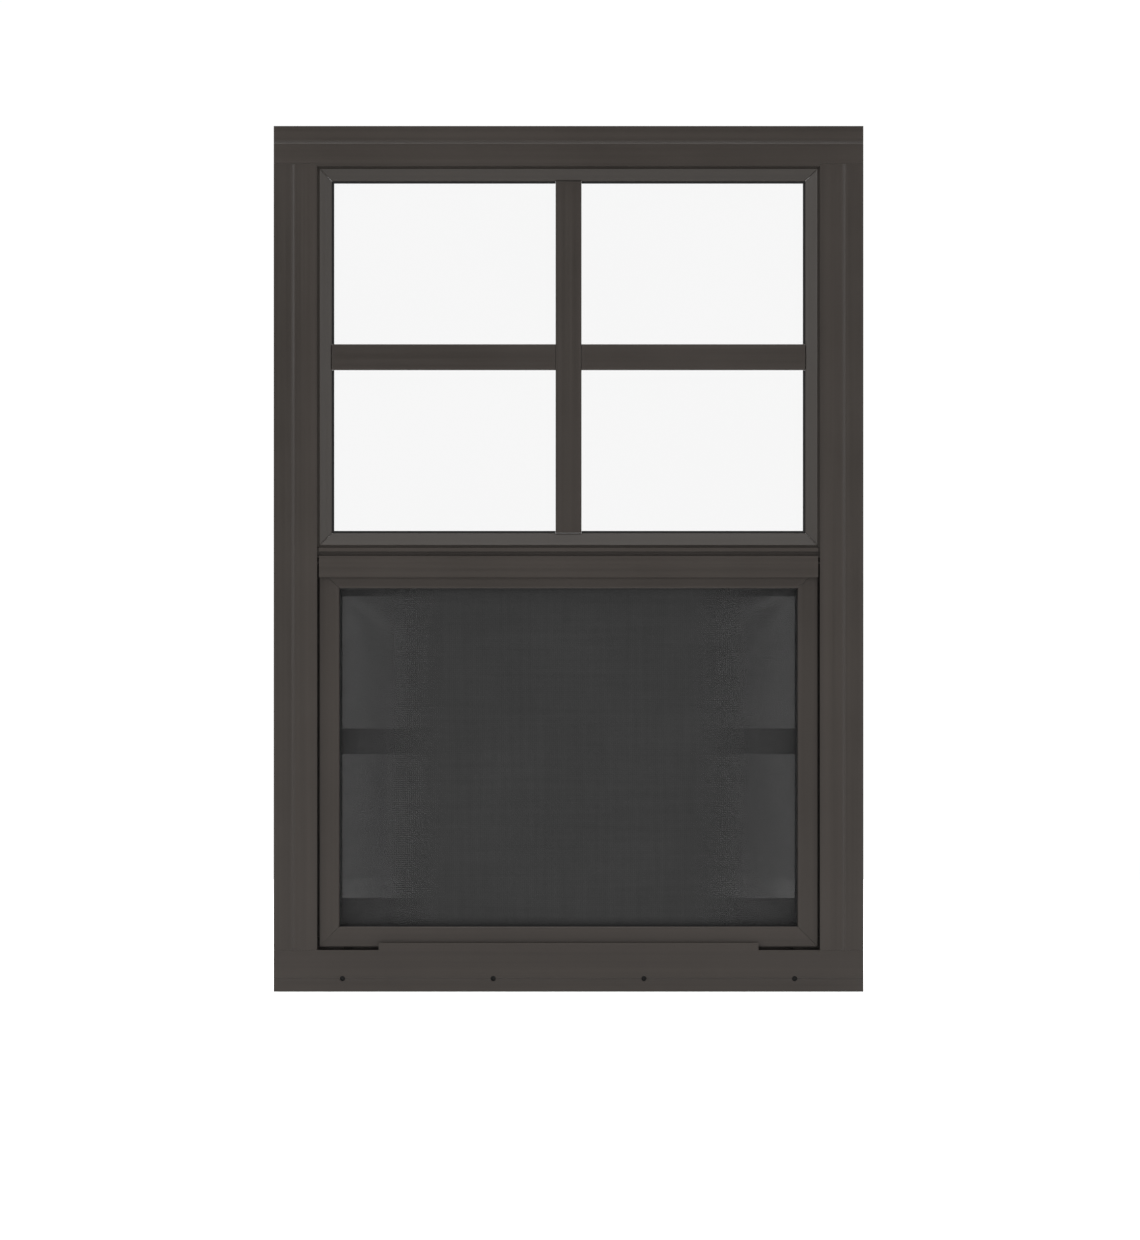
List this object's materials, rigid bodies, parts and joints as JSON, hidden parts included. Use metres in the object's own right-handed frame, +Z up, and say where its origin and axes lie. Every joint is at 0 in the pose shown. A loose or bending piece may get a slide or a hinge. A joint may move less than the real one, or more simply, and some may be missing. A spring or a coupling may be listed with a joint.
{
  "type": "sash window",
  "caption": "Flush-mount single-hung sash window: fixed upper lite with muntins, sliding lower sash with spring latches, and a half insect screen.",
  "frame": {"origin": "bottom centre of the frame's body, in the plane of the wall's outer face, which is the back of the mounting flange", "axes": "+X to the right seen from outside, +Y into the building, +Z up"},
  "size_m": [0.489, 0.039, 0.718],
  "materials": {
    "frame_paint": "satin dark bronze paint on aluminium",
    "bead_paint": "satin dark bronze paint on aluminium",
    "screen_paint": "satin dark bronze paint on rolled aluminium",
    "sash_paint": "satin dark bronze paint on aluminium",
    "clear_glass": "clear float glass",
    "black_rubber": "matt",
    "black_plastic": "matt moulded nylon",
    "screen_mesh": "charcoal coated glass-fibre cloth",
    "grey_pile": "brushed pile",
    "zinc_screw": "zinc plated",
    "latch_metal": "satin",
    "spring_steel": "drawn wire"
  },
  "bodies": {
    "window_frame": {"head": "frame_paint", "sill": "frame_paint", "left_jamb": "frame_paint", "right_jamb": "frame_paint", "frame_screws": "zinc_screw", "meeting_rail": "frame_paint", "meeting_rail_screws": "zinc_screw", "upper_glass": "clear_glass", "upper_gasket": "black_rubber", "glazing_blocks": "black_rubber", "top_bead": "bead_paint", "bottom_bead": "bead_paint", "left_bead": "bead_paint", "right_bead": "bead_paint", "upper_muntin_vertical": "frame_paint", "upper_muntin_horizontal": "frame_paint", "screen_top_rail": "screen_paint", "screen_bottom_rail": "screen_paint", "screen_left_stile": "screen_paint", "screen_right_stile": "screen_paint", "screen_corner_keys": "black_plastic", "screen_cloth": "screen_mesh", "screen_spline": "black_rubber", "travel_stops": "black_rubber"},
    "lower_sash": {"sash_top_rail": "sash_paint", "sash_bottom_rail": "sash_paint", "sash_left_stile": "sash_paint", "sash_right_stile": "sash_paint", "sash_screws": "zinc_screw", "lower_glass": "clear_glass", "lower_gasket": "black_rubber", "lower_muntin_vertical": "sash_paint", "lower_muntin_horizontal": "sash_paint", "sash_front_pile": "grey_pile", "sash_back_pile": "grey_pile", "sash_foot_seal": "black_rubber", "left_latch_housing": "black_plastic", "right_latch_housing": "black_plastic", "left_latch_spring": "spring_steel", "right_latch_spring": "spring_steel"},
    "left_latch": {"left_latch_bolt": "latch_metal"},
    "right_latch": {"right_latch_bolt": "latch_metal"}
  },
  "joints": [
    {"name": "sash_slide", "type": "slide", "parent": "window_frame", "child": "lower_sash", "axis": [0, 0, 1], "range_m": [0, 0.275]},
    {"name": "left_latch_slide", "type": "slide", "parent": "lower_sash", "child": "left_latch", "axis": [-1, 0, 0], "range_m": [-0.002, 0.0035], "stiffness_N_per_m": 300, "springref_m": 0.0035, "deforming": ["left_latch_spring"]},
    {"name": "right_latch_slide", "type": "slide", "parent": "lower_sash", "child": "right_latch", "axis": [1, 0, 0], "range_m": [-0.002, 0.0035], "stiffness_N_per_m": 300, "springref_m": 0.0035, "deforming": ["right_latch_spring"]}
  ]
}
